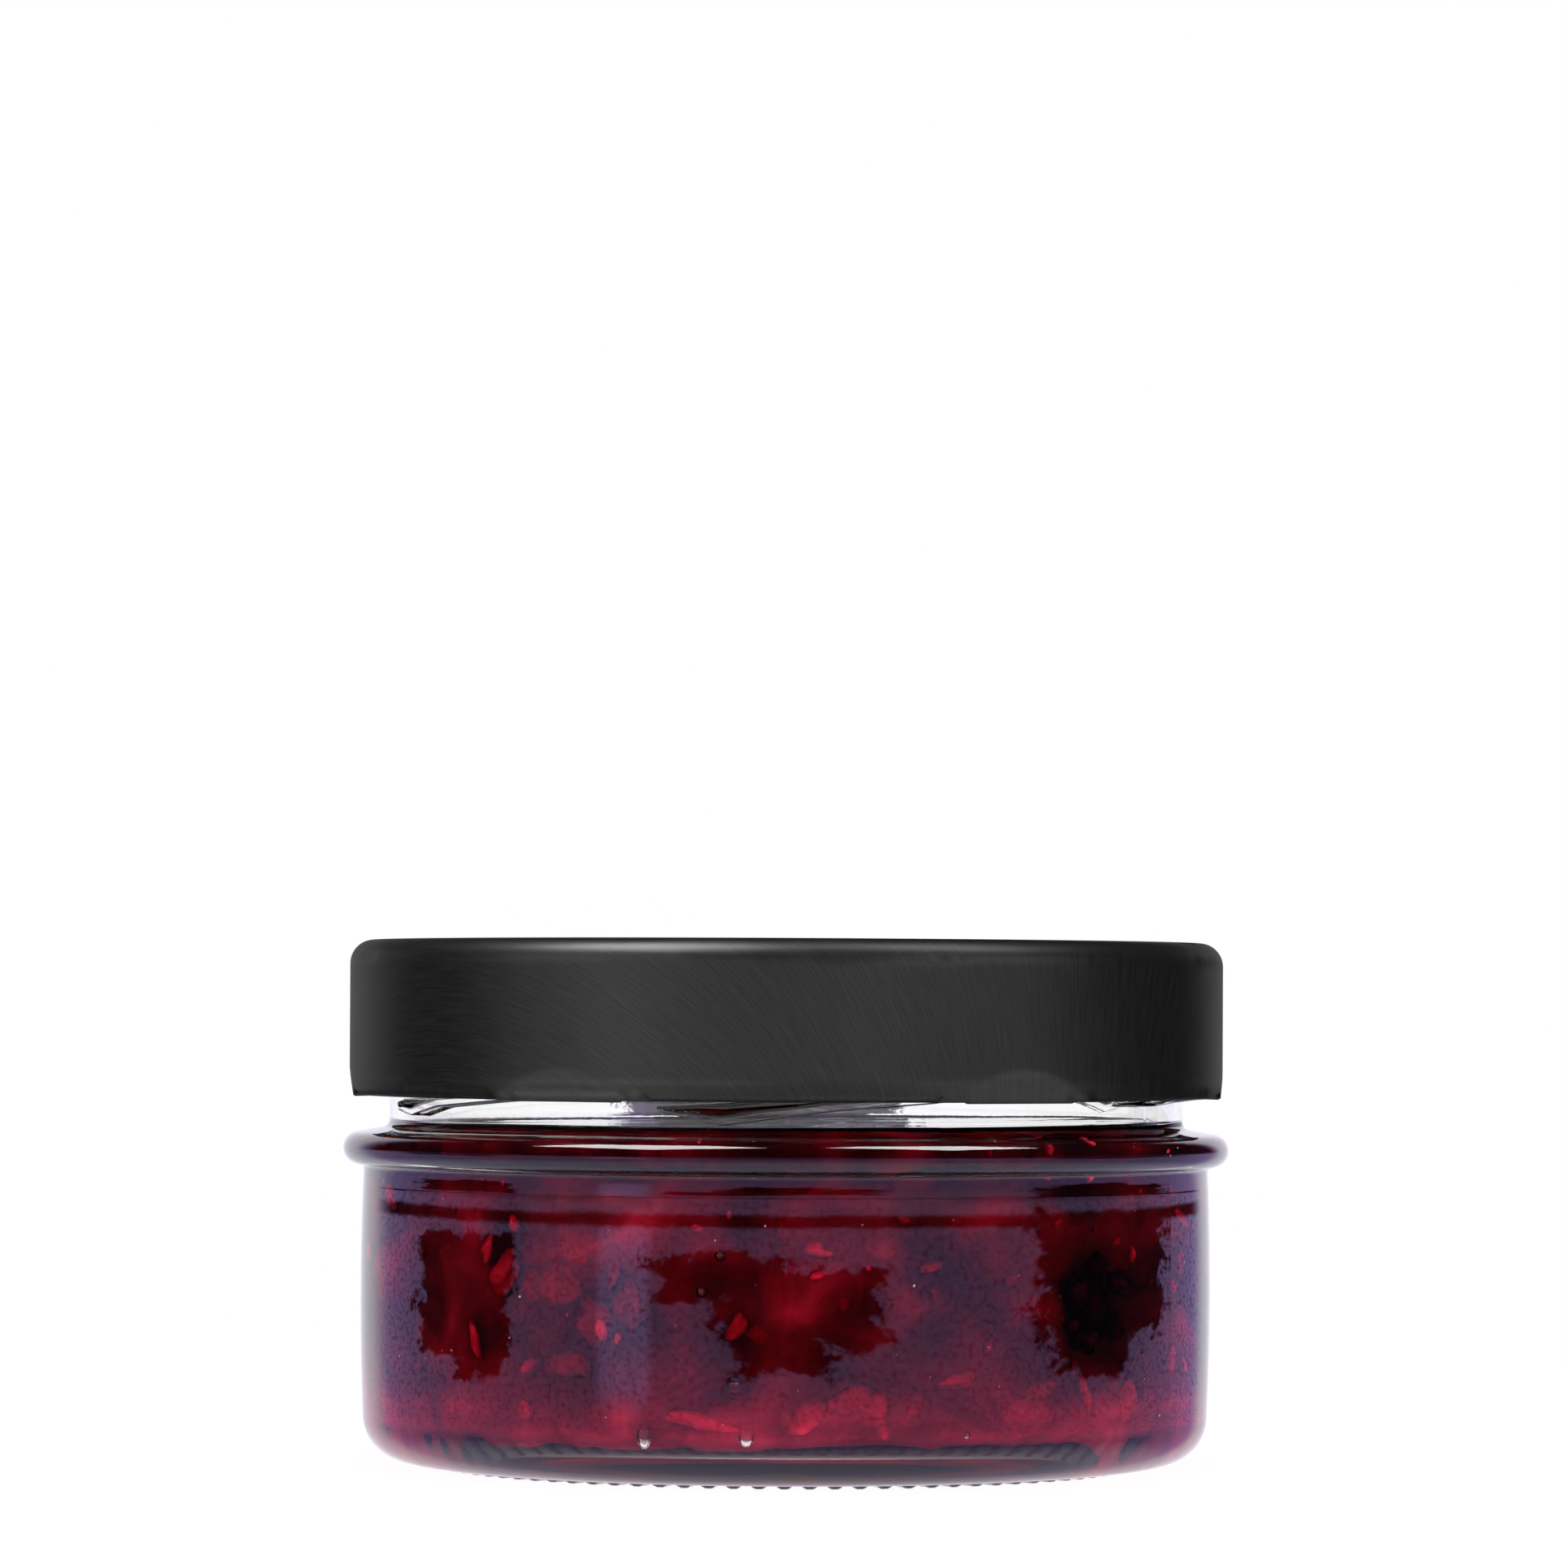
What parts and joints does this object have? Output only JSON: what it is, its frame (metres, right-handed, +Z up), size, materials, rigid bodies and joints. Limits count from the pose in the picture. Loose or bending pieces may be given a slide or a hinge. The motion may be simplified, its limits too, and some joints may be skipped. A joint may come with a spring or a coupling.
{
  "type": "twist-off jar of jam",
  "caption": "Low, wide clear glass jar of dark red fruit jam, with a deep black twist-off lid and a knurled base.",
  "frame": {"origin": "centre of the knurled bearing ring, on the plane the jar stands on", "axes": "+Z up along the jar's axis, -Y the front, +X to the right seen from the front"},
  "size_m": [0.0866, 0.0866, 0.0511],
  "materials": {
    "clear_glass": "clear pressed soda-lime glass, gloss",
    "black_lacquer": "satin black lacquer over brushed tinplate",
    "seal_compound": "flowed-in sealing compound, matt",
    "fruit_jam": "set dark red fruit jam, wet gloss"
  },
  "bodies": {
    "root": {"jar": "clear_glass", "lid": "black_lacquer", "sealing_ring": "seal_compound", "jam": "fruit_jam"}
  },
  "joints": []
}
